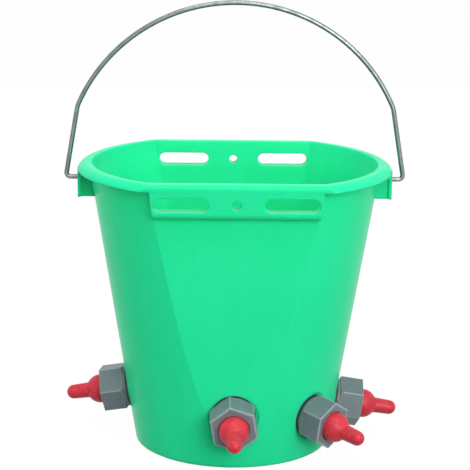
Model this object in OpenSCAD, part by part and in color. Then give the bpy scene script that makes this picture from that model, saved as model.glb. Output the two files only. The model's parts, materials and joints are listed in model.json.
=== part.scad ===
// Multi teat lamb feeder: a hanging bucket with screw-in teat valves round its foot.
// Millimetres, +Z up, origin at the middle of the base. The front panel faces -Y, the ears are at +X and -X.

/* [Bucket] */
// Height from the floor to the top of the rim
bucket_h = 275; // [240:0.5:320]
// Outside diameter of the round wall at the floor
base_d = 188; // [170:0.5:210]
// Outside diameter of the round wall at the height of the rim
mouth_d = 278; // [262:0.5:286]
// Thickness of the wall, the rim and the seats
wall_t = 2.6; // [1.8:0.1:3.6]
// Thickness of the base
base_t = 3; // [2:0.1:5]
// Depth of the hollow under the base
foot_h = 3; // [1:0.1:5]
// Width of the foot ring that the bucket stands on
foot_w = 8; // [5:0.5:14]
// Radius of the outer edge at the floor
foot_round = 3; // [1.5:0.1:5]

/* [Panels and bands] */
// Distance between the two flat panels, taken at the floor
panel_foot = 192.5; // [189:0.5:198]
// Distance between the two flat panels, taken at the height of the rim
panel_mouth = 226; // [214:0.5:236]
// Distance across the straight sides of the rim and the faces of the bands
rim_across = 244; // [238:0.5:256]
// Distance from the top of the rim down to the lower edge of a band
band_drop = 32; // [27:0.5:40]
// Width of a band along its lower edge
band_low_w = 150; // [146:0.5:152]
// Width of a band at the height of the rim
band_top_w = 158; // [154:0.5:162]
// Radius of a band's lower edge
band_round = 6; // [3:0.5:8]
// Distance by which the bands and ears stay inside the edge of the rim
under_lip = 0.1; // [0.1:0.1:1.5]

/* [Rim] */
// Diameter over the rim
lip_d = 300; // [294:0.5:312]
// Height of the rolled edge
lip_h = 6.6; // [4.5:0.1:8]
// Width of the rounded part of the rim
lip_roll = 10; // [8:0.1:12]
// Height that the top of the rim is flattened by
lip_flat = 0.15; // [0.1:0.05:0.5]
// Radius of the rim's outer edge along its two straight sides
side_round = 4; // [3.5:0.1:6]

/* [Hanging slots] */
// Distance from the top of the rim down to the middle of the slots and holes
hang_drop = 18.3; // [16:0.1:21]
// Distance between the middles of the two slots of a band
slot_spacing = 100; // [90:0.5:101]
// Length of a slot from end to end
slot_l = 50; // [30:0.5:51]
// Width of a slot
slot_w = 12.6; // [8:0.1:14]
// Diameter of the hole between the slots
hang_hole_d = 8.5; // [5:0.1:12]

/* [Ears] */
// Width of an ear's outer plate
ear_w = 36; // [33:0.5:44]
// Thickness of an ear's outer plate
ear_t = 3; // [2.6:0.1:3.4]
// Distance across the outer faces of an ear's two ribs
ear_rib_across = 30; // [29:0.5:32]
// Thickness of an ear's ribs
ear_rib_t = 2.6; // [2:0.1:3]
// Distance from the top of the rim down to the lower edge of the ears
ear_drop = 32.5; // [30:0.5:40]

/* [Bail] */
// Diameter of the bail wire
wire_d = 4.6; // [3.6:0.1:5]
// Distance from the top of the rim down to the bail's pivots
pivot_drop = 16.4; // [15:0.1:19]
// Distance between the middles of the legs, at their widest
bail_span = 321; // [314:0.5:332]
// Height of the middle of the bail's wire above its pivots
bail_rise = 166.7; // [150:0.1:190]
// Length of the straight part of a leg
leg_l = 62; // [40:0.5:74]
// Angle by which the legs lean inwards
leg_lean = 9.7; // [6:0.1:12]
// Radius of the shoulder between leg and arch, at the middle of the wire
shoulder_r = 20; // [12:0.5:30]
// Radius of the wire's right-angled bends, at the middle of the wire
bend_r = 4; // [3.5:0.1:4.3]
// Thinning of the wire where it is bent, on the radius
bend_thin = 0.02; // [0.02:0.01:0.1]
// Length of the straight tail behind the ear plate
tail_l = 4.5; // [2:0.1:6]
// Gap between the wire and its hole, on the radius
bail_gap = 0.3; // [0.2:0.05:0.6]

/* [Teat stations] */
// Angle of each teat hole round the bucket, from the front
hole_angle = [0, 47, 92, 180, 222, 265]; // [0:1:359]
// Height of each teat hole above the floor
hole_height = [52.5, 44, 37, 52.5, 40, 48]; // [36:0.5:70]
// Turn of each nut on its axis, as tightened
nut_turn = [40, 29, 24, 40, 29, 5]; // [0:1:59]
// Diameter of the flat seat that a washer lies on
seat_d = 43.5; // [43:0.5:50]
// Depth of the seat's middle below the round wall's outside
seat_sink = 1.6; // [1:0.1:2.2]
// Depth of the seat's middle below a flat panel's outside
panel_sink = 1.8; // [1.5:0.1:2.8]
// Slope of the skirt round a seat
seat_flare = 45; // [35:1:50]

/* [Valve] */
// Diameter of the threaded spigot
spigot_d = 32; // [29:0.1:33]
// Diameter of the valve body's flange and its gasket
flange_d = 40; // [38:0.1:40.6]
// Thickness of the valve body's flange
flange_t = 3; // [2:0.1:4]
// Thickness of the gasket under the flange
gasket_t = 2; // [1:0.1:3]
// Diameter of the washer under the nut
washer_d = 41.6; // [40:0.1:42.4]
// Thickness of the washer under the nut
washer_t = 2; // [1:0.1:3]
// Diameter of the inlet in the flange
inlet_d = 8; // [6:0.1:9]
// Depth of the inlet, from the outer face of the flange to the ball's seat
inlet_l = 9; // [7:0.1:11]
// Diameter of the valve ball
ball_d = 12; // [10.5:0.1:12.5]
// Distance that the ball moves between its seat and its cage
ball_travel = 4; // [2:0.1:4.5]
// Number of milk channels round the ball
channels = 4; // [3:1:6]
// Diameter of a milk channel
channel_d = 4; // [3:0.1:5]
// Diameter of the disc that cages the ball
cage_d = 21; // [19:0.1:23]
// Thickness of the disc that cages the ball
cage_t = 3; // [2:0.1:3.5]

/* [Nut] */
// Distance across the flats of the nut
nut_af = 41; // [39.5:0.1:42]
// Length of the nut
nut_l = 25.7; // [24:0.1:32]
// Height of the chamfer on the corners at the bucket end of the nut
nut_chamfer = 0.9; // [0.5:0.1:2]
// Diameter of the round collar at the bucket end of the nut
nut_ring_d = 40.4; // [38:0.1:40.8]
// Height of that collar
nut_ring_h = 3.2; // [1:0.1:6]
// Thickness of the nut's front wall
nut_front_t = 2.6; // [2:0.1:4]

/* [Teat] */
// Diameter of the teat's dome and of its neck in the nut
dome_d = 28; // [26:0.1:29]
// Distance of the dome's centre in front of the nut
dome_rise = 2.5; // [1:0.1:8]
// Diameter of the nipple where it leaves the dome
nipple_d = 14.8; // [12:0.1:18]
// Diameter of the nipple at its rounded tip
tip_d = 13.8; // [10:0.1:14.6]
// Length of the teat in front of the nut
teat_reach = 36.6; // [32:0.1:42]
// Thickness of the teat's rubber
teat_t = 2.8; // [2:0.1:3.5]
// Thickness of the teat's flange
teat_flange_t = 3; // [2:0.1:4]
// Diameter of the milk hole in the tip
milk_hole_d = 2; // [0.8:0.1:4]

/* [Fits] */
// Gap round the spigot, the ball and the teat, on the radius
fit_gap = 0.3; // [0.2:0.05:0.4]
// Gap round the pressed-in cage disc, on the radius
press_gap = 0.02; // [0.01:0.01:0.05]

/* [Hidden] */
$fn = 96;
over = 1;                       // how far a cutter runs past a face
lap = 0.2;                      // small overlap that keeps faces from falling on each other
stations = len(hole_angle);
green = [0.10, 0.82, 0.50];
steel = [0.78, 0.80, 0.82];
grey = [0.40, 0.44, 0.46];
red = [0.80, 0.16, 0.22];
black = [0.07, 0.07, 0.07];
white = [0.92, 0.92, 0.88];

// Round wall: radius and slope
wall_slope = (mouth_d - base_d) / 2 / bucket_h;
wall_angle = atan(wall_slope);
function wall_r(z) = base_d / 2 + wall_slope * z;
wall_side_t = wall_t / cos(wall_angle);

// Flat panels: distance from the middle and slope
panel_slope = (panel_mouth - panel_foot) / 2 / bucket_h;
panel_angle = atan(panel_slope);
function panel_y(z) = panel_foot / 2 + panel_slope * z;
panel_side_t = wall_t / cos(panel_angle);

floor_z = foot_h + base_t;
band_z = bucket_h - band_drop;
hang_z = bucket_h - hang_drop;
lip_z = bucket_h - lip_h;
lip_rise = lip_h + lip_flat;
lip_r = (lip_roll * lip_roll + lip_rise * lip_rise) / (2 * lip_rise);
wall_top = bucket_h - wall_t / 2;

// Ears and bail
ear_x = sqrt(pow(lip_d / 2 - under_lip, 2) - pow(ear_w / 2, 2));
ear_z = bucket_h - ear_drop;
pivot_z = bucket_h - pivot_drop;
tail_x = ear_x - ear_t - bail_gap - bend_r;
stub_x = bail_span / 2 - bend_r;
leg_foot = [stub_x + bend_r * cos(leg_lean), bend_r + bend_r * sin(leg_lean)];
leg_head = leg_foot + leg_l * [-sin(leg_lean), cos(leg_lean)];
shoulder = leg_head - shoulder_r * [cos(leg_lean), sin(leg_lean)];
arch_drop = bail_rise - shoulder_r - shoulder[1];
arch_inner = (pow(shoulder[0], 2) + pow(arch_drop, 2)) / (2 * arch_drop);
arch_r = arch_inner + shoulder_r;
arch_z = bail_rise - arch_r;
arch_end = atan2(shoulder[1] - arch_z, shoulder[0]);

// Station stack, measured outwards from the face of the seat
seat_depth = 4 * max(seat_sink, panel_sink);
bore_d = spigot_d + 2 * fit_gap;
flange_z = -wall_t - gasket_t;
nut_z = washer_t;
nut_front = nut_z + nut_l;
nut_shoulder = nut_front - nut_front_t;
spigot_end = nut_shoulder - teat_flange_t;
ball_seat = flange_z - flange_t + inlet_l;
ball_sit = sqrt(pow(ball_d / 2, 2) - pow(inlet_d / 2, 2));
ball_shut = ball_seat + ball_sit;
ball_open = ball_shut + ball_travel;
cage_z = ball_open + ball_d / 2;
channel_ring = ball_d / 2 + fit_gap;
nut_corner_r = nut_af / 2 / cos(30);

part_names = ["valve_body", "inner_gasket", "outer_washer", "teat_nut", "teat", "valve_ball", "ball_cage"];

// A station at the middle of a panel starts from the panel, any other from the round wall. All lean like the round wall.
function on_panel(i) = hole_angle[i] % 180 == 0;
function seat_reach(i) = on_panel(i) ? panel_y(hole_height[i]) : wall_r(hole_height[i]);

// Places what it holds at a station: origin on the face of the seat, +Z outwards along the teat.
module at_station(i) {
    rotate([0, 0, hole_angle[i]])
        translate([0, -seat_reach(i), hole_height[i]])
            rotate([90 + wall_angle, 0, 0])
                translate([0, 0, on_panel(i) ? -panel_sink : -seat_sink])
                    children();
}

module ring(d_out, d_in, h) {
    difference() {
        cylinder(d = d_out, h = h);
        translate([0, 0, -over]) cylinder(d = d_in, h = h + 2 * over);
    }
}

// The right half of an outline, for turning about the axis
module half() {
    intersection() {
        children();
        translate([0, -bucket_h]) square([lip_d, 3 * bucket_h]);
    }
}

// Extrudes an outline drawn in Y and Z along the X axis
module along_x() {
    rotate([90, 0, 90]) translate([0, 0, -lip_d / 2 - over]) linear_extrude(lip_d + 2 * over) children();
}

// Outline of the round wall from low to high, with a rounded lower edge
module cone_outline(low, high, inset, edge_r) {
    r0 = wall_r(low) - inset;
    r1 = wall_r(high) - inset;
    edge = [r0 + wall_slope * edge_r - edge_r / cos(wall_angle), low + edge_r];
    union() {
        polygon([[0, low], [edge[0], low],
            edge + edge_r * [cos(wall_angle), -sin(wall_angle)], [r1, high], [0, high]]);
        translate(edge) circle(r = edge_r);
    }
}

// The bucket's round body with its two flat panels
module cup(low, high, inset, panel_inset, edge_r) {
    intersection() {
        rotate_extrude() half() cone_outline(low, high, inset, edge_r);
        along_x() polygon([
            [-panel_y(low) + panel_inset, low], [panel_y(low) - panel_inset, low],
            [panel_y(high) - panel_inset, high], [-panel_y(high) + panel_inset, high]]);
    }
}

// Outline across the rim, out to reach on both sides, with rounded top edges, thinned by inset
module lip_outline(reach, low, inset) {
    flat = reach - lip_roll;
    intersection() {
        translate([-reach - over, low]) square([2 * (reach + over), bucket_h - inset - low]);
        union() {
            translate([-flat, low - over]) square([2 * flat, bucket_h - low + 2 * over]);
            for (side = [-1, 1]) translate([side * flat, bucket_h + lip_flat - lip_r]) circle(r = lip_r - inset);
        }
    }
}

// Outline across the rim's straight sides: upright faces with rounded top edges, thinned by inset
module side_outline(reach, low, inset) {
    edge = reach - side_round;
    union() {
        translate([-edge, low]) square([2 * edge, bucket_h - inset - low]);
        translate([inset - reach, low]) square([2 * (reach - inset), bucket_h - side_round - low]);
        for (side = [-1, 1]) translate([side * edge, bucket_h - side_round]) circle(r = side_round - inset);
    }
}

// Rim in plan: a circle with two straight sides
module lip(low, inset) {
    intersection() {
        rotate_extrude() half() lip_outline(lip_d / 2, low, inset);
        along_x() side_outline(rim_across / 2, low, inset);
    }
}

// Thick upright band above the front panel, up to the rim
module band() {
    face = rim_across / 2 - under_lip;
    root = panel_y(band_z) - wall_t / 2;
    intersection() {
        rotate([90, 0, 0]) linear_extrude(face + over) polygon([
            [-band_low_w / 2, band_z - over], [band_low_w / 2, band_z - over],
            [band_top_w / 2, bucket_h], [-band_top_w / 2, bucket_h]]);
        along_x() {
            translate([-face, band_z + band_round]) square([face - root, band_drop - band_round]);
            translate([-face + band_round, band_z]) square([face - root - band_round, band_drop]);
            translate([-face + band_round, band_z + band_round]) circle(r = band_round);
        }
    }
}

// Boxed ear under the rim at +X, open below
module ear() {
    root = wall_r(ear_z) - wall_t;
    translate([ear_x - ear_t, -ear_w / 2, ear_z]) cube([ear_t, ear_w, ear_drop]);
    for (side = [-1, 1])
        translate([root, side * (ear_rib_across - ear_rib_t) / 2 - ear_rib_t / 2, ear_z])
            cube([ear_x - ear_t / 2 - root, ear_rib_t, ear_drop]);
}

// Space for the bands and ears: under the rim and just inside its skin
module under_rim() {
    low = min(band_z, ear_z) - over;
    lip(lip_z - over, under_lip / 2);
    translate([-lip_d / 2, -lip_d / 2, low]) cube([lip_d, lip_d, lip_z - low]);
}

// Cone of radius r at the height of a seat's face, wider below it, from depth below to rise above
module seat_skirt(r, depth, rise) {
    translate([0, 0, -depth])
        cylinder(r1 = r + depth * tan(seat_flare), r2 = r - rise * tan(seat_flare), h = depth + rise);
}

module hang_slots() {
    straight = slot_l - slot_w;
    rotate([90, 0, 0]) linear_extrude(rim_across + 2 * over, center = true)
        for (side = [-1, 1]) translate([side * slot_spacing / 2, hang_z]) {
            square([straight, slot_w], center = true);
            for (end = [-1, 1]) translate([end * straight / 2, 0]) circle(d = slot_w);
        }
    translate([0, 0, hang_z]) rotate([90, 0, 0])
        cylinder(d = hang_hole_d, h = rim_across + 2 * over, center = true);
}

module bucket() {
    color(green) difference() {
        union() {
            cup(0, wall_top, 0, 0, foot_round);
            difference() {
                lip(lip_z, 0);
                lip(lip_z - over, wall_t);
            }
            intersection() {
                for (turn = [0, 180]) rotate([0, 0, turn]) {
                    band();
                    ear();
                }
                under_rim();
            }
            for (i = [0 : stations - 1]) at_station(i) seat_skirt(seat_d / 2, seat_depth, over);
        }
        difference() {
            cup(floor_z, bucket_h + over, wall_side_t, panel_side_t, foot_round + wall_t);
            for (i = [0 : stations - 1]) at_station(i)
                translate([0, 0, -wall_t]) mirror([0, 0, 1]) seat_skirt(seat_d / 2 - over, seat_depth + wall_t, over);
        }
        translate([0, 0, -over]) cylinder(r = base_d / 2 - foot_round - foot_w, h = foot_h + over);
        hang_slots();
        translate([0, 0, pivot_z]) rotate([0, 90, 0])
            difference() {
                cylinder(d = wire_d + 2 * bail_gap, h = lip_d, center = true);
                cylinder(d = lip_d, h = 2 * (ear_x - ear_t) - over, center = true);
            }
        for (i = [0 : stations - 1]) at_station(i) {
            mirror([0, 0, 1]) seat_skirt(seat_d / 2 + lap, seat_depth, 0);
            translate([0, 0, -wall_t]) seat_skirt(seat_d / 2 - over + lap, seat_depth, 0);
            translate([0, 0, -wall_t - over]) cylinder(d = bore_d, h = wall_t + 2 * over);
        }
    }
}

// Straight length of wire along +Z, with what follows at its end
module run(l) {
    cylinder(d = wire_d, h = l);
    translate([0, 0, l]) children();
}

// Curved length of wire that leaves +Z and turns towards +X, with what follows at its end
module curve(r, angle, thin = 0, more = 0) {
    translate([r, 0, 0]) rotate([90, 0, 180]) rotate([0, 0, -more])
        rotate_extrude(angle = angle + 2 * more) translate([r, 0]) circle(d = wire_d - 2 * thin);
    translate([r, 0, 0]) rotate([0, angle, 0]) translate([-r, 0, 0]) children();
}

// Tight bend, a little thinner than the wire and let into the wire at both ends
module bend(r, angle) {
    curve(r, angle, bend_thin, lap / r * 180 / PI) children();
}

// One side of the bail at a time, from the middle of the arch down to the tail behind the ear
module bail() {
    color(steel) for (side = [0, 1]) mirror([side, 0, 0])
        translate([0, 0, pivot_z + bail_rise]) rotate([0, 90, 0])
            curve(arch_r, 90 - arch_end) bend(shoulder_r, arch_end - leg_lean)
                run(leg_l) bend(bend_r, 90 + leg_lean) run(stub_x - tail_x - bend_r)
                    rotate([0, 0, 180]) bend(bend_r, 90) run(tail_l);
}

// Flanged spigot: inlet, ball seat, ball chamber with milk channels, and the cage's step
module valve_body(i) {
    color(grey) at_station(i) difference() {
        union() {
            translate([0, 0, flange_z - flange_t]) cylinder(d = flange_d, h = flange_t);
            translate([0, 0, flange_z - over]) cylinder(d = spigot_d, h = spigot_end - flange_z + over);
        }
        translate([0, 0, flange_z - flange_t - over]) cylinder(d = inlet_d, h = inlet_l + 2 * over);
        translate([0, 0, ball_seat]) cylinder(d = ball_d + 2 * fit_gap, h = spigot_end);
        for (k = [0 : channels - 1]) rotate([0, 0, k * 360 / channels])
            translate([channel_ring, 0, ball_shut]) cylinder(d = channel_d, h = spigot_end);
        translate([0, 0, cage_z]) cylinder(d = cage_d + 2 * press_gap, h = spigot_end);
    }
}

module inner_gasket(i) {
    color(black) at_station(i) translate([0, 0, flange_z]) ring(flange_d, bore_d, gasket_t);
}

module outer_washer(i) {
    color(black) at_station(i) ring(washer_d, bore_d, washer_t);
}

// Hexagonal cap nut with a round collar towards the bucket
module teat_nut(i) {
    color(grey) at_station(i) translate([0, 0, nut_z]) difference() {
        intersection() {
            rotate([0, 0, nut_turn[i]]) cylinder(r = nut_corner_r, h = nut_l, $fn = 6);
            rotate_extrude() polygon([[0, 0], [nut_ring_d / 2, 0], [nut_ring_d / 2, nut_ring_h],
                [nut_corner_r - nut_chamfer, nut_ring_h], [nut_corner_r + over, nut_ring_h + nut_chamfer + over],
                [nut_corner_r + over, nut_l], [0, nut_l]]);
        }
        translate([0, 0, -over]) cylinder(d = bore_d, h = nut_l - nut_front_t + over);
        cylinder(d = dome_d + 2 * fit_gap, h = nut_l + over);
    }
}

// Outline of the teat from the axis outwards, thinned by inset
module teat_outline(inset) {
    dome_z = nut_front + dome_rise;
    tip_z = nut_front + teat_reach - tip_d / 2;
    translate([0, dome_z]) circle(d = dome_d - 2 * inset);
    translate([0, spigot_end - inset]) square([dome_d / 2 - inset, dome_z - spigot_end + inset]);
    polygon([[0, dome_z], [nipple_d / 2 - inset, dome_z + dome_d / 2 - teat_t],
        [tip_d / 2 - inset, tip_z], [0, tip_z]]);
    translate([0, tip_z]) circle(d = tip_d - 2 * inset);
}

module teat(i) {
    color(red) at_station(i) rotate_extrude() half() difference() {
        union() {
            intersection() {
                teat_outline(0);
                translate([0, spigot_end]) square([dome_d, lip_d]);
            }
            translate([0, spigot_end]) square([spigot_d / 2 - fit_gap, teat_flange_t]);
        }
        teat_outline(teat_t);
        square([milk_hole_d / 2, lip_d]);
    }
}

module valve_ball(i) {
    color(white) at_station(i) translate([0, 0, ball_open]) sphere(d = ball_d);
}

// Disc that stops the ball, with a hole on each milk channel
module ball_cage(i) {
    color(white) at_station(i) translate([0, 0, cage_z]) difference() {
        cylinder(d = cage_d, h = cage_t);
        for (k = [0 : channels - 1]) rotate([0, 0, k * 360 / channels])
            translate([channel_ring, 0, -over]) cylinder(d = channel_d, h = cage_t + 2 * over);
    }
}

bucket();
bail();
for (i = [0 : stations - 1]) {
    valve_body(i);
    inner_gasket(i);
    outer_washer(i);
    teat_nut(i);
    teat(i);
    valve_ball(i);
    ball_cage(i);
}
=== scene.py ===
# %% [markdown]
# # A multi teat lamb feeder
# The real feeder is a green bucket of moulded polypropylene that hangs on a gate or rail. Six valves go
# through its wall near the foot, and each holds a red rubber teat under a grey cap nut. A steel wire bail
# carries it. The solids come from CAD at their real size. This lesson gives them their finish, and makes
# anew the pieces that need finer forms than the solids have: teats, cap nuts and threaded valve bodies.
# Blender works in metres here, so a size in millimetres is multiplied by MM.

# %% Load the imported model
import json
import math

import bpy
from mathutils import Matrix, Vector


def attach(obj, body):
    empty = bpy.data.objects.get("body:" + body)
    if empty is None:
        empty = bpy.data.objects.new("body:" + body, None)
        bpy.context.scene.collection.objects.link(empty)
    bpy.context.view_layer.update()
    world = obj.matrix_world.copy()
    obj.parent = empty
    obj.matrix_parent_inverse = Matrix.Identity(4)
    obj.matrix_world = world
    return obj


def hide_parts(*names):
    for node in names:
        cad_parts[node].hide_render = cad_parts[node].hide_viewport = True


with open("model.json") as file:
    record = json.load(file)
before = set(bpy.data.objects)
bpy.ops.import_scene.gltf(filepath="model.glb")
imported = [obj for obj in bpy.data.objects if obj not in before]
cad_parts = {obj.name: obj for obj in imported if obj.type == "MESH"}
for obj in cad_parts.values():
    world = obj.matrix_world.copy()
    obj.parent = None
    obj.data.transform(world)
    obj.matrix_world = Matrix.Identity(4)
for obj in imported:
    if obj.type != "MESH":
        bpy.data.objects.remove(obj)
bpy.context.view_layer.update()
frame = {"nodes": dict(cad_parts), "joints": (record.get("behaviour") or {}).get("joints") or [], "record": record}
nodes = frame["nodes"]
MM = 0.001

# %% [markdown]
# ## The camera
# The photograph was taken from just left of the middle, a little above the rim, with a long lens. Its place
# was worked out from known points on the bucket: the rim, the slots and the foot. Blender could aim a camera
# with a Track To constraint, but the photograph is also rolled a little, so the matrix is written out. A
# camera looks along its own minus Z, so the three columns of its matrix are its right, its up and the
# direction back to the camera.

# %% Place the camera
FRAME_PX = 470
FOCAL_PX = 1724.0
SENSOR_MM = 36.0
AIM = Vector((0.00084, 0.0, 0.2026))
DISTANCE = 1.66032
FAR_CLIP = 60.0
AZIMUTH, ELEVATION, ROLL = (math.radians(a) for a in (-0.98, 12.91, 0.71))

back = Vector((
    math.sin(AZIMUTH) * math.cos(ELEVATION),
    -math.cos(AZIMUTH) * math.cos(ELEVATION),
    math.sin(ELEVATION),
))
level = Vector((math.cos(AZIMUTH), math.sin(AZIMUTH), 0.0))
plumb = back.cross(level)
right = math.cos(ROLL) * level + math.sin(ROLL) * plumb
up = math.cos(ROLL) * plumb - math.sin(ROLL) * level
turned = Matrix((right, up, back)).transposed().to_4x4()

camera = bpy.data.objects.new("camera", bpy.data.cameras.new("camera"))
camera.data.sensor_fit = "HORIZONTAL"
camera.data.sensor_width = SENSOR_MM
camera.data.lens = FOCAL_PX / FRAME_PX * SENSOR_MM
camera.data.clip_end = FAR_CLIP
camera.matrix_world = Matrix.Translation(AIM + back * DISTANCE) @ turned
bpy.context.scene.collection.objects.link(camera)
bpy.context.scene.camera = camera
bpy.context.scene.view_settings.view_transform = "Standard"
print("lens", round(camera.data.lens, 1), "mm at", [round(v, 3) for v in camera.matrix_world.translation])

# %% [markdown]
# ## Shader sums in plain Python
# A finish is a small sum: a base colour, plus a little mottling, plus worn edges. Nodes can be joined by hand
# for that, but long chains are hard to read. So one class wraps a socket, and adding or multiplying two of
# them adds a Math node. Colours don't go through Math, which would turn them grey, but through Mix.

# %% A class for sockets
MIX_PLAIN, MIX_TINTED, MIX_COLOUR = 6, 7, 2


class Shade:
    """A socket in a node tree. Sums and products of sockets add Math nodes."""

    def __init__(self, tree, socket=None):
        self.tree, self.socket = tree, socket

    def node(self, kind, settings=(), inputs=(), output=0):
        """Adds a node: its settings first, then the values or links of its sockets."""
        made = self.tree.nodes.new("ShaderNode" + kind)
        for name, value in dict(settings).items():
            setattr(made, name, value)
        for key, value in dict(inputs).items():
            if isinstance(value, Shade):
                self.tree.links.new(value.socket, made.inputs[key])
            else:
                made.inputs[key].default_value = value
        return Shade(self.tree, made.outputs[output])

    def math(self, operation, first, second):
        return self.node("Math", {"operation": operation}, {0: first, 1: second})

    def __add__(self, other):
        return self.math("ADD", self, other)

    def __sub__(self, other):
        return self.math("SUBTRACT", self, other)

    def __rsub__(self, other):
        return self.math("SUBTRACT", other, self)

    def __mul__(self, other):
        return self.math("MULTIPLY", self, other)

    __radd__, __rmul__ = __add__, __mul__

    def clamp(self, low=0.0, high=1.0):
        return self.math("MINIMUM", self.math("MAXIMUM", self, low), high)

    def step(self, low, high):
        """0 below low, 1 above high, and a smooth rise between them."""
        ends = {0: self, 1: low, 2: high, 3: 0.0, 4: 1.0}
        return self.node("MapRange", {"interpolation_type": "SMOOTHSTEP"}, ends)

    def tint(self, plain, tinted):
        """A colour that goes from plain to tinted as this value goes from 0 to 1."""
        ends = {0: self, MIX_PLAIN: plain, MIX_TINTED: tinted}
        return self.node("Mix", {"data_type": "RGBA"}, ends, MIX_COLOUR)


print("socket class ready")

# %% [markdown]
# ## What the finishes share
# Every finish is one Principled shader. What is the same all over a piece, such as the IOR, is set on its
# socket as a number. What changes over the surface is worked out as a Shade and fed into the socket.

# %% Helpers for materials
def rgb(red, green, blue):
    """A colour, in the linear values that Blender's sockets take."""
    return (red, green, blue, 1.0)


def finish(name, **constants):
    """A new material: its tree as a Shade, and the sockets of its Principled shader."""
    material = bpy.data.materials.new(name)
    material.use_nodes = True
    shader = material.node_tree.nodes["Principled BSDF"]
    for socket, value in constants.items():
        shader.inputs[socket.replace("_", " ")].default_value = value
    return material, Shade(material.node_tree), shader.inputs


def feed(socket, value):
    """Links a Shade into a socket."""
    value.tree.links.new(value.socket, socket)


print("material helpers ready")

# %% [markdown]
# ## Grain, edges and dents
# Every finish here reads the object's own coordinates, so its grain stays on the piece when a nut turns or
# the bail swings. Moulded edges are never knife sharp. The Bevel node rounds them in the shading, and where
# the rounded normal leaves the true one there is an edge, which is also where handling wears a piece.

# %% Helpers for surfaces
BEVEL_SAMPLES = 6
EDGE_STARTS, EDGE_FULL = 0.004, 0.14


def grain(shade, size, stretch=(1.0, 1.0, 1.0), detail=2.0, roughness=0.5):
    """Noise from 0 to 1 with lumps of about size metres, drawn out along an axis by stretch."""
    place = shade.node("TexCoord", output="Object")
    scale = tuple(1.0 / (size * s) for s in stretch)
    laid = shade.node("Mapping", {"vector_type": "POINT"}, {"Vector": place, "Scale": scale})
    noise = {"Vector": laid, "Scale": 1.0, "Detail": detail, "Roughness": roughness}
    return shade.node("TexNoise", {}, noise)


def soft_normal(shade, radius):
    """The normal with sharp edges rounded by radius."""
    return shade.node("Bevel", {"samples": BEVEL_SAMPLES}, {"Radius": radius})


def edge_mask(shade, soft):
    """1 on edges, where the rounded normal leaves the true one, and 0 on open faces."""
    true = shade.node("NewGeometry", output="Normal")
    close = shade.node("VectorMath", {"operation": "DOT_PRODUCT"}, {0: soft, 1: true}, "Value")
    return (1.0 - close).step(EDGE_STARTS, EDGE_FULL)


def dented(shade, height, depth, normal):
    """A bump of depth metres where height goes from 0 to 1."""
    inputs = {"Strength": 1.0, "Distance": depth, "Height": height, "Normal": normal}
    return shade.node("Bump", {}, inputs)


print("surface helpers ready")

# %% [markdown]
# ## Green polypropylene
# The bucket is injection moulded in one shot, so its skin is smooth and glossy, with a trace of orange peel.
# The melt runs from the middle of the base up to the rim, which leaves the faintest upright streaks. Stacked
# buckets rub each other, so fine scuffs dull the gloss here and there, and edges turn slightly paler. The
# wall is thin and lets some light through, so Subsurface spreads light in it, most of all green light.

# %% Make the green plastic
GREEN = rgb(0.021, 0.750, 0.345)
GREEN_DEEP = rgb(0.018, 0.725, 0.322)
GREEN_PALE = rgb(0.045, 0.860, 0.420)
STREAK_W, UPRIGHT = 12 * MM, (1.0, 1.0, 12.0)
SCUFF_H, LEVEL = 2.2 * MM, (9.0, 9.0, 0.8)
PEEL_W, PEEL_DEPTH = 1.4 * MM, 0.012 * MM

green_plastic, s, sockets = finish(
    "green_plastic_finish", IOR=1.13, Subsurface_Weight=0.45, Subsurface_Scale=10 * MM,
    Subsurface_Radius=(0.35, 1.0, 0.65))
normal = soft_normal(s, 1.6 * MM)
edge = edge_mask(s, normal)
flow = grain(s, STREAK_W, UPRIGHT)
cloud = grain(s, 90 * MM, detail=3.0)
rubbed_area = grain(s, 50 * MM).step(0.50, 0.68)
scuff = grain(s, SCUFF_H, LEVEL, detail=3.0).step(0.60, 0.74) * rubbed_area
# Streaks and clouds together make the mottling. Worn edges show, and scuffs hardly do.
mottle = (flow * 0.45 + cloud * 0.55).step(0.36, 0.66)
body_green = mottle.tint(GREEN_DEEP, GREEN)
feed(sockets["Base Color"], (edge * 0.40 + scuff * 0.02).tint(body_green, GREEN_PALE))
feed(sockets["Roughness"], 0.26 + cloud * 0.06 + scuff * 0.05)
feed(sockets["Normal"], dented(s, grain(s, PEEL_W, detail=1.0), PEEL_DEPTH, normal))
print("green_plastic:", len(s.tree.nodes), "nodes")

# %% [markdown]
# ## Bright galvanised wire
# The bail is drawn steel wire with a thin zinc coat. Drawing leaves fine lines along the wire. They could
# follow a UV map, but the CAD mesh has none. The bail lies in one upright plane, so noise that is fine across
# that plane and long within it follows the wire all round.

# %% Make the steel
STEEL = rgb(0.262, 0.288, 0.300)
STEEL_DULL = rgb(0.150, 0.168, 0.173)
LINE_W, WITHIN_PLANE = 0.22 * MM, (90.0, 1.0, 90.0)
WIRE_RELIEF = 0.03 * MM

steel_wire, s, sockets = finish("steel_wire_finish", Metallic=1.0)
lines = grain(s, LINE_W, WITHIN_PLANE)
zinc = grain(s, 7 * MM, detail=4.0, roughness=0.65)
# Where the zinc has gone dull, the wire is darker and rougher.
worn = zinc.step(0.40, 0.66)
feed(sockets["Base Color"], (worn * 0.65 + lines * 0.35).tint(STEEL, STEEL_DULL))
feed(sockets["Roughness"], 0.24 + worn * 0.13 + lines * 0.08)
feed(sockets["Normal"], dented(s, lines * 0.6 + zinc * 0.4, WIRE_RELIEF, soft_normal(s, 0.5 * MM)))
print("steel_wire:", len(s.tree.nodes), "nodes")
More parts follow.
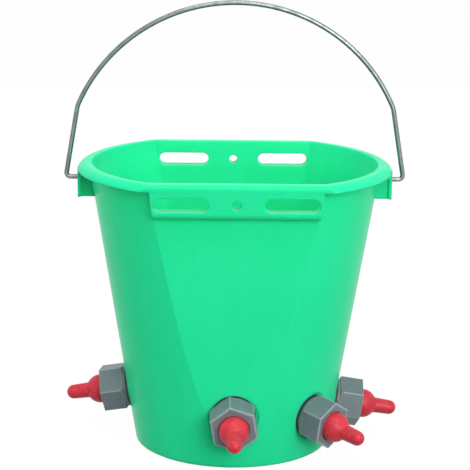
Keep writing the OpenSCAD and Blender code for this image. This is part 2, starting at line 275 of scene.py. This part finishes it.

# %% [markdown]
# ## Grey moulded plastic
# Nuts and valve bodies are a filled grey plastic with a satin, spark-textured skin. A spanner and wet hands
# polish the corners, so the worn edges are a bit smoother than the flats. Their paler colour is partly that wear
# and partly a painted highlight, the bright lines that light draws along the bevels. The Bevel node finds only
# sharp edges, and the nuts made below are rounded, so their meshes carry the wear and painted highlight of each
# point with them, in an attribute that this finish reads.

# %% Make the grey plastic
GREY = rgb(0.152, 0.186, 0.212)
GREY_DEEP = rgb(0.126, 0.157, 0.180)
# The pale grey is partly worn plastic and partly a painted highlight on the edges.
GREY_WORN_AND_LIT = rgb(0.430, 0.480, 0.500)
SPARK_W, SPARK_DEPTH = 0.42 * MM, 0.035 * MM

grey_plastic, s, sockets = finish("grey_plastic_finish", IOR=1.47)
patch = grain(s, 11 * MM, detail=4.0, roughness=0.6).step(0.34, 0.70)
spark = grain(s, SPARK_W, roughness=0.7)
wear_and_highlight = s.node("Attribute", {"attribute_name": "wear_and_highlight"}, output="Fac")
# Wear and painted highlight are patchy: nowhere less than about half of what the mesh says.
rub_and_highlight = wear_and_highlight * (0.55 + 0.45 * grain(s, 3 * MM, detail=3.0).step(0.30, 0.62))
body_grey = (patch * 0.75 + spark * 0.25).tint(GREY_DEEP, GREY)
# Edges turn pale grey: partly wear, partly a painted highlight.
feed(sockets["Base Color"], (rub_and_highlight * 0.64).tint(body_grey, GREY_WORN_AND_LIT))
feed(sockets["Roughness"], 0.40 + spark * 0.10 - rub_and_highlight * 0.10)
feed(sockets["Normal"], dented(s, spark, SPARK_DEPTH, soft_normal(s, 0.7 * MM)))
print("grey_plastic:", len(s.tree.nodes), "nodes")

# %% [markdown]
# ## Black sealing rubber
# Washers and gaskets are punched from matt sheet rubber. It is never quite black: a grey bloom lies on it.
# One noise gives the bloom its colour and its uneven gloss, so that the two stay together.

# %% Make the black rubber
RUBBER = rgb(0.012, 0.012, 0.012)
RUBBER_BLOOM = rgb(0.045, 0.045, 0.043)
SHEET_W, SHEET_DEPTH = 0.6 * MM, 0.04 * MM

black_rubber, s, sockets = finish("black_rubber_finish", IOR=1.5)
bloom = grain(s, 4 * MM, detail=5.0, roughness=0.7)
feed(sockets["Base Color"], bloom.step(0.45, 0.75).tint(RUBBER, RUBBER_BLOOM))
feed(sockets["Roughness"], 0.50 + bloom * 0.22)
feed(sockets["Normal"], dented(s, grain(s, SHEET_W), SHEET_DEPTH, soft_normal(s, 0.3 * MM)))
print("black_rubber:", len(s.tree.nodes), "nodes")

# %% [markdown]
# ## Red teat rubber
# The teats are soft moulded rubber with a satin skin. Colour is a touch deeper where the mould was hotter,
# and a dry bloom makes the gloss uneven. A fine bump keeps the highlight from looking like hard plastic. The
# teats made below have no sharp edges, so this finish needs no Bevel and starts from the true normal.

# %% Make the red rubber
RED = rgb(0.590, 0.026, 0.045)
RED_DEEP = rgb(0.500, 0.020, 0.036)
RED_DRY = rgb(0.700, 0.075, 0.095)
SKIN_W, SKIN_DEPTH = 0.55 * MM, 0.03 * MM

red_rubber, s, sockets = finish("red_rubber_finish", IOR=1.36)
cloud = grain(s, 9 * MM, detail=4.0, roughness=0.6)
dry = grain(s, 2.0 * MM, detail=4.0, roughness=0.7).step(0.46, 0.70)
body_red = cloud.step(0.38, 0.62).tint(RED_DEEP, RED)
true_normal = s.node("NewGeometry", output="Normal")
feed(sockets["Base Color"], (dry * 0.60).tint(body_red, RED_DRY))
feed(sockets["Roughness"], 0.36 + dry * 0.16 + cloud * 0.06)
feed(sockets["Normal"], dented(s, grain(s, SKIN_W), SKIN_DEPTH, true_normal))
print("red_rubber:", len(s.tree.nodes), "nodes")

# %% [markdown]
# ## White valve plastic
# The ball and the disc that cages it are a plain ivory plastic inside the valve. Milk leaves a faint stain on
# it, which is duller than the clean plastic, so one noise again gives both.

# %% Make the white plastic
IVORY = rgb(0.860, 0.850, 0.790)
IVORY_MILKY = rgb(0.780, 0.760, 0.680)
MOULD_W, MOULD_DEPTH = 0.8 * MM, 0.02 * MM

white_plastic, s, sockets = finish("white_plastic_finish", IOR=1.49)
stain = grain(s, 5 * MM, detail=4.0)
feed(sockets["Base Color"], stain.step(0.40, 0.70).tint(IVORY, IVORY_MILKY))
feed(sockets["Roughness"], 0.34 + stain * 0.12)
feed(sockets["Normal"], dented(s, grain(s, MOULD_W), MOULD_DEPTH, soft_normal(s, 0.3 * MM)))
print("white_plastic:", len(s.tree.nodes), "nodes")

# %% [markdown]
# ## Dressing the CAD nodes
# The record names a material slot for every node. The bucket, the bail, the washers, gaskets, balls and cages
# keep their CAD shapes, which are exact, and take the finish of their slot.

# %% Give every node its finish
finishes = {
    "green_plastic": green_plastic, "steel_wire": steel_wire, "grey_plastic": grey_plastic,
    "black_rubber": black_rubber, "red_rubber": red_rubber, "white_plastic": white_plastic,
}
for part in frame["record"]["subparts"]:
    for slot in nodes[part["node"]].material_slots:
        slot.material = finishes[part["material_slot"]]
print("finished", len(nodes), "nodes with", len(finishes), "materials")

# %% [markdown]
# ## Where the stations are
# A station is one valve with its nut and teat. Each nut turns on a hinge, and the hinge's axis is the middle
# line of its station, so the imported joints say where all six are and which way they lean. Reading them keeps
# the new pieces where the CAD has them.

# %% Find the stations
def station_matrix(joint):
    """Origin on the seat of a station, Z outwards along the teat, X level along the wall."""
    out = Vector(joint["axis"]).normalized()
    along = Vector((-out.y, out.x, 0.0)).normalized()
    columns = Matrix((along, out.cross(along), out)).transposed().to_4x4()
    return Matrix.Translation(Vector(joint["pos_m"])) @ columns


stations = []
for joint in frame["joints"]:
    if joint["name"].startswith("nut_"):
        number = joint["name"].split("_")[1]
        stations.append((number, station_matrix(joint)))
print("stations:", [number for number, matrix in stations])

# %% [markdown]
# ## Round pieces from rings
# Teats, nuts and valve bodies are all round things on one axis. Blender's Screw modifier can turn a profile,
# but a hexagon or a thread has a radius that changes with the angle. So each piece is a stack of rings whose
# radius is worked out point by point, with quads between neighbouring rings and the last ring joined to the
# first. The stack runs up the outside and back down the inside, so the mesh is closed, like the real piece.
# The points are moved to their station before the mesh is made, as in the CAD nodes, so the grain of a finish
# falls differently on each of the six.

# %% A helper that joins rings
SHARP_ANGLE = math.radians(40)


def ring_piece(name, rings, angles, matrix, material):
    """Closed mesh from rings. A ring gives radius and height in mm at an angle, and perhaps its wear and painted
    highlight.
    """
    points, faces, worn = [], [], []
    count = len(angles)
    for ring in rings:
        for a in angles:
            radius, height, *wear_and_highlight = ring(a)
            worn.append(wear_and_highlight[0] if wear_and_highlight else 0.0)
            point = Vector((radius * math.cos(a), radius * math.sin(a), height))
            points.append(matrix @ (point * MM))
    for i in range(len(rings)):
        j = (i + 1) % len(rings)
        for k in range(count):
            n = (k + 1) % count
            faces.append((i * count + k, i * count + n, j * count + n, j * count + k))
    mesh = bpy.data.meshes.new(name)
    mesh.from_pydata(points, [], faces)
    mesh.shade_smooth()
    mesh.set_sharp_from_angle(angle=SHARP_ANGLE)
    # The fourth value of a ring, wear and painted highlight, is kept on the mesh for the finish.
    mesh.attributes.new("wear_and_highlight", "FLOAT", "POINT").data.foreach_set("value", worn)
    mesh.materials.append(material)
    piece = bpy.data.objects.new(name, mesh)
    bpy.context.scene.collection.objects.link(piece)
    return piece


print("rings can be joined")

# %% [markdown]
# ## Profiles
# A profile is drawn as rings too: a plain ring is one point of it, and an arc is a row of plain rings. A
# rounding needs one more ring just beside it, a support ring, which keeps the smooth shading of the rounding
# off the flat face next to it.

# %% Rings and arcs
SUPPORT = 0.2


def even_angles(count):
    return [2 * math.pi * k / count for k in range(count)]


def plain(radius, height):
    """A ring of one radius."""
    return lambda a: (radius, height)


def arc(centre_r, centre_h, radius, start, end, steps):
    """Rings along an arc of the profile, from start to end in degrees, 0 outwards and 90 up."""
    turns = [math.radians(start + (end - start) * t / steps) for t in range(steps + 1)]
    return [plain(centre_r + radius * math.cos(t), centre_h + radius * math.sin(t)) for t in turns]


print("a quarter round of", len(arc(1.0, 1.0, 1.0, 0, 90, 3)), "rings")

# %% [markdown]
# ## The teat's profile
# A lamb teat is one rubber moulding: a flange that the nut clamps, a short neck through the nut, a dome, and
# the nipple. The dome flows into the nipple through a small hollow curve, which a plain union of solids
# doesn't have, so the teat is made here ring by ring and stands for its CAD solid. The hollow inside follows
# the outside at the thickness of the rubber, up to the milk hole in the tip.

# %% Draw the dome and the nipple
DOME_R, DOME_Z = 14.0, 30.2
NIPPLE_R, TIP_R, TIP_Z = 7.4, 6.9, 57.4
RUBBER_T, MILK_HOLE_R, NECK_FILLET = 2.8, 0.6, 3.2
DOME_STEPS, FILLET_STEPS, NIPPLE_STEPS, TIP_STEPS = 14, 6, 6, 10


def teat_profile(inset, fillet):
    """Rings of the dome, the hollow curve under the nipple, the nipple and its tip."""
    dome, nipple, tip = DOME_R - inset, NIPPLE_R - inset, TIP_R - inset
    middle_r = nipple + fillet
    middle_z = DOME_Z + math.sqrt((dome + fillet) ** 2 - middle_r ** 2)
    meet = math.degrees(math.atan2(middle_z - DOME_Z, middle_r))
    rings = arc(0.0, DOME_Z, dome, 0, meet, DOME_STEPS)
    rings += arc(middle_r, middle_z, fillet, 180 + meet, 180, FILLET_STEPS)[1:]
    for step in range(1, NIPPLE_STEPS):
        share = step / NIPPLE_STEPS
        rings.append(plain(nipple + (tip - nipple) * share, middle_z + (TIP_Z - middle_z) * share))
    last = math.degrees(math.acos(MILK_HOLE_R / tip))
    return rings + arc(0.0, TIP_Z, tip, 0, last, TIP_STEPS)


print("teat profile of", len(teat_profile(0.0, NECK_FILLET)), "rings, tip at", TIP_Z + TIP_R, "mm")

# %% [markdown]
# ## The teats
# Below the dome come the neck and the flange. The flange lies on the end of the spigot, and the nut's front
# presses it there. Its edges and the corner at the neck are rounded, as rubber comes out of a mould.

# %% Make the teats
SPIGOT_END = 22.1
TEAT_FLANGE_R, TEAT_FLANGE_T = 15.7, 3.0
FLANGE_ROUND, FLANGE_STEPS, MOUTH_BREAK = 0.6, 3, 0.3
NECK_RINGS, INNER_NECK_RING = (2.0, 4.0), 3.0
TEAT_SIDES = 72


def teat_rings():
    """All rings of a teat, up the outside from the mouth and back down the inside."""
    low, high = SPIGOT_END, SPIGOT_END + TEAT_FLANGE_T
    bore, edge, r = DOME_R - RUBBER_T, FLANGE_ROUND, TEAT_FLANGE_R - FLANGE_ROUND
    outside = [plain(bore + MOUTH_BREAK, low), plain(r - SUPPORT, low)]
    outside += arc(r, low + edge, edge, -90, 0, FLANGE_STEPS) + arc(r, high - edge, edge, 0, 90, FLANGE_STEPS)
    outside += [plain(DOME_R + edge + SUPPORT, high)]
    outside += arc(DOME_R + edge, high + edge, edge, 270, 180, FLANGE_STEPS)
    outside += [plain(DOME_R, high + z) for z in NECK_RINGS]
    inside = [plain(bore, low + MOUTH_BREAK), plain(bore, high + INNER_NECK_RING)]
    inside += teat_profile(RUBBER_T, NECK_FILLET + RUBBER_T)
    return outside + teat_profile(0.0, NECK_FILLET) + inside[::-1]


for number, matrix in stations:
    name = "rubber_teat_" + number
    teat = ring_piece(name, teat_rings(), even_angles(TEAT_SIDES), matrix, red_rubber)
    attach(teat, "teat_" + number)
    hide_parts("teat_" + number)
print("teats of", len(teat.data.polygons), "faces")

# %% [markdown]
# ## A hexagon with rounded corners
# Each nut is a hexagon with a round collar towards the bucket. A boolean of a hexagon and a cylinder would
# need bevels afterwards. Worked out by angle, the corners are rounded from the start: near a corner the
# radius is that of a small circle, and elsewhere that of the flat. The angles stand closer on the corners.

# %% Work out the hexagon
NUT_FLAT_R, CORNER_ROUND = 20.5, 1.0
CORNER_R = NUT_FLAT_R / math.cos(math.pi / 6)
CORNER_HALF = math.pi / 6 - math.atan((NUT_FLAT_R - CORNER_ROUND) * math.tan(math.pi / 6) / NUT_FLAT_R)
CORNER_SHARES = (-1.5, -1, -0.6, -0.2, 0.2, 0.6, 1, 1.5)
FLAT_DEGREES = (5, 10, 15, 20, 25, 30, 35, 40, 45, 50, 55)


def off_corner(angle, turn):
    """Angle to the nearest corner of a hexagon with one corner at turn."""
    return abs((angle - turn + math.pi / 6) % (math.pi / 3) - math.pi / 6)


def hexagon(angle, inset, turn):
    """Radius in mm of a hexagon with rounded corners, one of them at turn."""
    flat, off = NUT_FLAT_R - inset, off_corner(angle, turn)
    centre = (flat - CORNER_ROUND) / math.cos(math.pi / 6)
    reach = CORNER_ROUND ** 2 - (centre * math.sin(off)) ** 2
    along = math.tan(math.pi / 6 - off) * flat
    if reach > 0 and along > (flat - CORNER_ROUND) * math.tan(math.pi / 6):
        return centre * math.cos(off) + math.sqrt(reach)
    return flat / math.cos(math.pi / 6 - off)


def nut_angles(turn):
    """Angles that are close together on the rounded corners."""
    steps = [CORNER_HALF * share for share in CORNER_SHARES] + [math.radians(d) for d in FLAT_DEGREES]
    return [turn + k * math.pi / 3 + a for k in range(6) for a in steps]


print("hexagon of", len(nut_angles(0.0)), "points,", round(2 * CORNER_R, 1), "mm over sharp corners")

# %% [markdown]
# ## Edges that carry wear and a painted highlight
# The front edges have a bevel, and a small chamfer takes the corners off at the back. Each of these is a
# short table: how far in, how far from the face, and how pale, from 0 to 1. That paleness is partly wear and
# partly a painted highlight, the bright lines that light draws along the edges. It goes into the mesh with the
# point, and the grey finish reads it there. The front face itself isn't paled at its corners.

# %% Lay the rows of the flats
NUT_Z, NUT_L, COLLAR_H, BACK_CHAMFER = 2.0, 25.7, 3.2, 0.9
# The corner value is partly wear and partly a painted highlight.
CORNER_WEAR_AND_HIGHLIGHT, CORNER_REACH, FRONT_FACE = 0.75, 1.01, 0.1
FRONT_BEVEL = [
    (0.00, 0.95, 0.0), (0.00, 0.70, 0.5), (0.12, 0.46, 1.0), (0.80, 0.26, 0.8),
    (1.50, 0.06, 0.8), (1.80, 0.00, 0.3), (2.30, 0.00, 0.0),
]
# The back edge is paled most: a painted highlight along the chamfer, with some wear.
BACK_EDGE = [
    (0.26, 0.00, 0.3), (0.08, 0.08, 1.0), (0.00, 0.28, 1.0),
    (0.00, 0.60, 0.4), (0.00, 0.95, 0.0), (0.00, 1.40, 0.0),
]


def corner_wear_and_highlight(angle, turn):
    """Wear and painted highlight of a rounded corner of the hexagon, and 0 on its flats."""
    return CORNER_WEAR_AND_HIGHLIGHT if off_corner(angle, turn) < CORNER_HALF * CORNER_REACH else 0.0


def flat_row(turn, inset, height, wear_and_highlight):
    """A ring round the flats, set in by inset, whose corners carry wear and a painted highlight up to the front
    face.
    """
    if height > NUT_Z + NUT_L - FRONT_FACE:
        return lambda a: (hexagon(a, inset, turn), height, wear_and_highlight)
    return lambda a: (hexagon(a, inset, turn), height, max(wear_and_highlight, corner_wear_and_highlight(a, turn)))


def back_row(turn, inset, rise, wear_and_highlight):
    """A ring near the back rim of the flats, where a small chamfer takes the corners off. Its paleness is partly
    wear and partly a painted highlight.
    """
    limit = CORNER_R - BACK_CHAMFER + rise
    return lambda a: (min(hexagon(a, inset, turn), limit), NUT_Z + COLLAR_H + rise, wear_and_highlight)


print("edge rows:", len(FRONT_BEVEL), "in front and", len(BACK_EDGE), "behind")

# %% [markdown]
# ## Threads
# Nut and spigot have a right-hand thread of 3 mm pitch. At a given height the crest moves round with the
# angle, so a thread is only a radius that follows height minus angle, with a soft flank between crest and
# root. At both ends the thread runs out over a few rows, as a turned one does.

# %% A helper for threads
THREAD_PITCH, THREAD_ROW, RUN_OUT_ROWS = 3.0, 0.3, 5
CREST_HALF, FLANK = 0.12, 0.20


def thread(angle, height, crest, depth):
    """Radius of the thread: crest, flank, root and flank in each pitch. Depth below 0 cuts inwards."""
    phase = (height / THREAD_PITCH - angle / (2 * math.pi)) % 1.0
    ramp = min(max((abs(phase - 0.5) - CREST_HALF) / FLANK, 0.0), 1.0)
    return crest + depth * ramp * ramp * (3 - 2 * ramp)


def thread_rows(start, length, upwards, bare, crest, depth):
    """Rings of a thread from start, over length, that runs out to the bare radius at both ends."""
    rows = int(length / THREAD_ROW)
    rings = []
    for k in range(rows + 1):
        z = start + k * THREAD_ROW * upwards
        fade = min(k / RUN_OUT_ROWS, (rows - k) / RUN_OUT_ROWS, 1.0)
        rings.append(lambda a, z=z, fade=fade: (bare + (thread(a, z, crest, depth) - bare) * fade, z))
    return rings


print("thread of", round(THREAD_PITCH / THREAD_ROW), "rows a turn")

# %% [markdown]
# ## The cap nuts
# The stack of a nut starts at its collar, goes up the flats to the front, in through the hole for the teat,
# and back down the thread inside. The six nuts stand at different turns, as hands left them: four as the
# photograph shows them, and two on the far side like their neighbours.

# %% Make the cap nuts
COLLAR_R, COLLAR_ROUND, COLLAR_FLAT, NUT_FRONT_T = 20.2, 0.4, 0.9, 2.6
HOLE_R, HOLE_ROUND, FRONT_RING = 14.3, 0.5, 2.0
NUT_THREAD_R, NUT_THREAD_DEPTH = 16.2, 0.8
THREAD_INSET, THREAD_ENDS, NUT_LEAD = 0.4, 1.6, 0.5
FLAT_ROWS = (6.0, 10.0, 14.0, 18.0, 22.0)
NUT_TURNS = [40, 29, 24, 40, 29, 5]


def nut_rings(turn):
    """All rings of a nut that has a corner at turn, from the collar to the front and back inside."""
    front = NUT_Z + NUT_L
    rings = [plain(COLLAR_R - COLLAR_FLAT, NUT_Z)]
    rings += arc(COLLAR_R - COLLAR_ROUND, NUT_Z + COLLAR_ROUND, COLLAR_ROUND, -90, 0, 3)
    rings += [plain(COLLAR_R, NUT_Z + COLLAR_H - COLLAR_ROUND), plain(COLLAR_R, NUT_Z + COLLAR_H)]
    rings += [back_row(turn, *step) for step in BACK_EDGE]
    rings += [flat_row(turn, 0.0, NUT_Z + z, 0.0) for z in FLAT_ROWS]
    rings += [flat_row(turn, inset, front - drop, wear_and_highlight) for inset, drop, wear_and_highlight in FRONT_BEVEL]
    rings += [plain(HOLE_R + FRONT_RING, front), plain(HOLE_R + HOLE_ROUND + SUPPORT, front)]
    rings += arc(HOLE_R + HOLE_ROUND, front - HOLE_ROUND, HOLE_ROUND, 90, 180, 4)
    shoulder, root = front - NUT_FRONT_T, NUT_THREAD_R + NUT_THREAD_DEPTH
    rings += [plain(HOLE_R, shoulder), plain(root, shoulder)]
    length = shoulder - NUT_Z - THREAD_ENDS
    rings += thread_rows(shoulder - THREAD_INSET, length, -1, root, NUT_THREAD_R, NUT_THREAD_DEPTH)
    return rings + [plain(root, NUT_Z + NUT_LEAD), plain(root + NUT_LEAD, NUT_Z)]


for (number, matrix), degrees in zip(stations, NUT_TURNS):
    turn = math.radians(degrees)
    nut = ring_piece("cap_nut_" + number, nut_rings(turn), nut_angles(turn), matrix, grey_plastic)
    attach(nut, "nut_" + number)
    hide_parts("teat_nut_" + number)
print("cap nuts of", len(nut.data.polygons), "faces")

# %% [markdown]
# ## The ball's chamber
# Milk enters the inlet of a valve, lifts the ball and runs past it along four channels. The channels could be
# cut by four cylinders, but by angle they are only a larger radius in four places.

# %% Work out the chamber
CHAMBER_R, CHANNEL_R = 6.3, 2.0


def chamber(angle):
    """Radius of the ball's chamber, with its four milk channels."""
    off = abs((angle + math.pi / 4) % (math.pi / 2) - math.pi / 4)
    reach = CHANNEL_R ** 2 - (CHAMBER_R * math.sin(off)) ** 2
    return max(CHAMBER_R, CHAMBER_R * math.cos(off) + math.sqrt(reach)) if reach > 0 else CHAMBER_R


print("chamber from", chamber(math.pi / 4), "to", chamber(0.0), "mm in radius")

# %% [markdown]
# ## The valve bodies
# A valve body's flange lies inside the bucket and its threaded spigot comes out through the wall. The thread
# shows when a nut is screwed off, so it is real geometry. The edge of the ball's seat is broken by a tiny
# chamfer, as a moulded one is.

# %% Make the valve bodies
FLANGE_LOW, FLANGE_HIGH, FLANGE_R = -7.6, -4.6, 20.0
FLANGE_RING, INNER_EDGE, GASKET_EDGE = 12.0, 0.8, 0.4
SPIGOT_R, SPIGOT_THREAD, SPIGOT_PLAIN, SPIGOT_CHAMFER = 16.0, 0.9, 1.0, 0.5
SPIGOT_THREAD_Z, SPIGOT_THREAD_ENDS = 1.6, 2.4
INLET_R, INLET_BREAK, BALL_SEAT, SEAT_BREAK = 4.0, 0.6, 1.4, 0.1
CHANNEL_LOW, CHANNEL_END = 5.872, 0.01
CAGE_Z, CAGE_R, CAGE_LEAD = 15.872, 10.52, 0.4
VALVE_SIDES = 96


def valve_rings():
    """All rings of a valve body, from the flange out along the spigot and back in to the inlet."""
    low, high, inner = FLANGE_LOW, FLANGE_HIGH, FLANGE_R - INNER_EDGE
    rings = [plain(INLET_R + INLET_BREAK, low), plain(FLANGE_RING, low), plain(inner - SUPPORT, low)]
    rings += arc(inner, low + INNER_EDGE, INNER_EDGE, -90, 0, 3)
    rings += arc(FLANGE_R - GASKET_EDGE, high - GASKET_EDGE, GASKET_EDGE, 0, 90, 2)
    rings += [plain(SPIGOT_R, high), plain(SPIGOT_R, SPIGOT_PLAIN)]
    length = SPIGOT_END - SPIGOT_THREAD_ENDS
    rings += thread_rows(SPIGOT_THREAD_Z, length, 1, SPIGOT_R, SPIGOT_R, -SPIGOT_THREAD)
    rings += [plain(SPIGOT_R - SPIGOT_CHAMFER, SPIGOT_END), plain(CAGE_R + CAGE_LEAD, SPIGOT_END)]
    rings += [plain(CAGE_R, SPIGOT_END - CAGE_LEAD), plain(CAGE_R, CAGE_Z)]
    rings += [lambda a: (chamber(a), CAGE_Z), lambda a: (chamber(a), CHANNEL_LOW)]
    rings += [plain(CHAMBER_R, CHANNEL_LOW - CHANNEL_END), plain(CHAMBER_R, BALL_SEAT)]
    rings += [plain(INLET_R + SEAT_BREAK, BALL_SEAT), plain(INLET_R, BALL_SEAT - SEAT_BREAK)]
    return rings + [plain(INLET_R, low + INLET_BREAK)]


for number, matrix in stations:
    name = "threaded_valve_" + number
    valve = ring_piece(name, valve_rings(), even_angles(VALVE_SIDES), matrix, grey_plastic)
    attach(valve, "bucket_body")
    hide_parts("valve_body_" + number)
print("valve bodies of", len(valve.data.polygons), "faces")

# %% [markdown]
# ## The floor
# The photograph has a white background. The floor is a grey disc, so that little light comes up from below.
# For the camera most of its white is given off by itself. It reaches the white of the photograph that way and
# still keeps the object's shadow. A Light Path node tells which rays those are.

# %% Lay the floor
FLOOR_R, FLOOR_DROP, FLOOR_SIDES = 16.0, 0.2 * MM, 96
FLOOR_GREY, FLOOR_GLOW, GLOW_SHARE = 0.18, 1.13, 0.86
WHITE = rgb(1.0, 1.0, 1.0)


def seen_directly(shade):
    """1 for rays from the camera and for mirror and glass rays, 0 for rays that gather light."""
    kinds = ("Is Camera Ray", "Is Glossy Ray", "Is Transmission Ray")
    seen, mirrored, through = (shade.node("LightPath", output=kind) for kind in kinds)
    return (seen + mirrored + through).clamp()


floor_white, s, _ = finish(
    "floor_white", Base_Color=rgb(FLOOR_GREY, FLOOR_GREY, FLOOR_GREY), Roughness=0.9, Specular_IOR_Level=0.1)
paper = Shade(s.tree, s.tree.nodes["Principled BSDF"].outputs[0])
glow = s.node("Emission", {}, {"Color": WHITE, "Strength": FLOOR_GLOW})
mixed = s.node("MixShader", {}, {0: seen_directly(s) * GLOW_SHARE, 1: paper, 2: glow})
feed(s.tree.nodes["Material Output"].inputs["Surface"], mixed)

mesh = bpy.data.meshes.new("floor")
rim = [(FLOOR_R * math.cos(a), FLOOR_R * math.sin(a), -FLOOR_DROP) for a in even_angles(FLOOR_SIDES)]
mesh.from_pydata(rim, [], [tuple(range(FLOOR_SIDES))])
mesh.materials.append(floor_white)
floor = bpy.data.objects.new("floor", mesh)
bpy.context.scene.collection.objects.link(floor)
print("floor laid,", FLOOR_R, "m in radius")

# %% [markdown]
# ## Soft lights
# The light in the photograph is even. A broad key light stands to the right of the camera and leaves soft
# shadows beside the nuts, and a lamp above lights the rim. Weaker lamps at the sides and behind shine through
# the thin wall. Mirror rays don't see those three, or they would lay a white haze over the green.

# %% Hang the lights
LOW_AIM, HIGH_AIM = Vector((0.0, 0.0, 0.15)), Vector((0.0, 0.0, 0.20))


def soft_light(name, place, target, width, height, watts, mirrored=True):
    """A flat lamp at place that faces target. Sizes are in metres."""
    light = bpy.data.lights.new(name, "AREA")
    light.shape, light.size, light.size_y, light.energy = "RECTANGLE", width, height, watts
    lamp = bpy.data.objects.new(name, light)
    lamp.location = place
    lamp.rotation_euler = (target - Vector(place)).to_track_quat("-Z", "Y").to_euler()
    lamp.visible_glossy = mirrored
    bpy.context.scene.collection.objects.link(lamp)


soft_light("key", (0.85, -2.3, 1.05), LOW_AIM, 1.6, 1.2, 48)
soft_light("top", (0.0, -0.6, 2.2), HIGH_AIM, 1.8, 1.4, 21)
soft_light("left", (-2.2, 0.3, 0.9), LOW_AIM, 1.2, 1.3, 19, mirrored=False)
soft_light("right", (2.2, -0.3, 0.9), LOW_AIM, 1.2, 1.3, 6, mirrored=False)
soft_light("behind", (0.0, 2.2, 1.0), HIGH_AIM, 2.0, 1.2, 28, mirrored=False)

# %% [markdown]
# ## The room
# The world stands for the white walls of a studio. The camera and mirror rays see it white. As a light it is
# weaker, so that the lamps keep their shadows.

# %% Paint the room
SKY_SEEN, SKY_LIGHT = 1.0, 0.42

world = bpy.data.worlds.new("studio")
bpy.context.scene.world = world
world.use_nodes = True
s = Shade(world.node_tree)
brightness = SKY_LIGHT + seen_directly(s) * (SKY_SEEN - SKY_LIGHT)
backdrop = s.node("Background", {}, {"Color": WHITE, "Strength": brightness})
feed(s.tree.nodes["World Output"].inputs["Surface"], backdrop)
print("room lit at", SKY_LIGHT, "and seen at", SKY_SEEN)
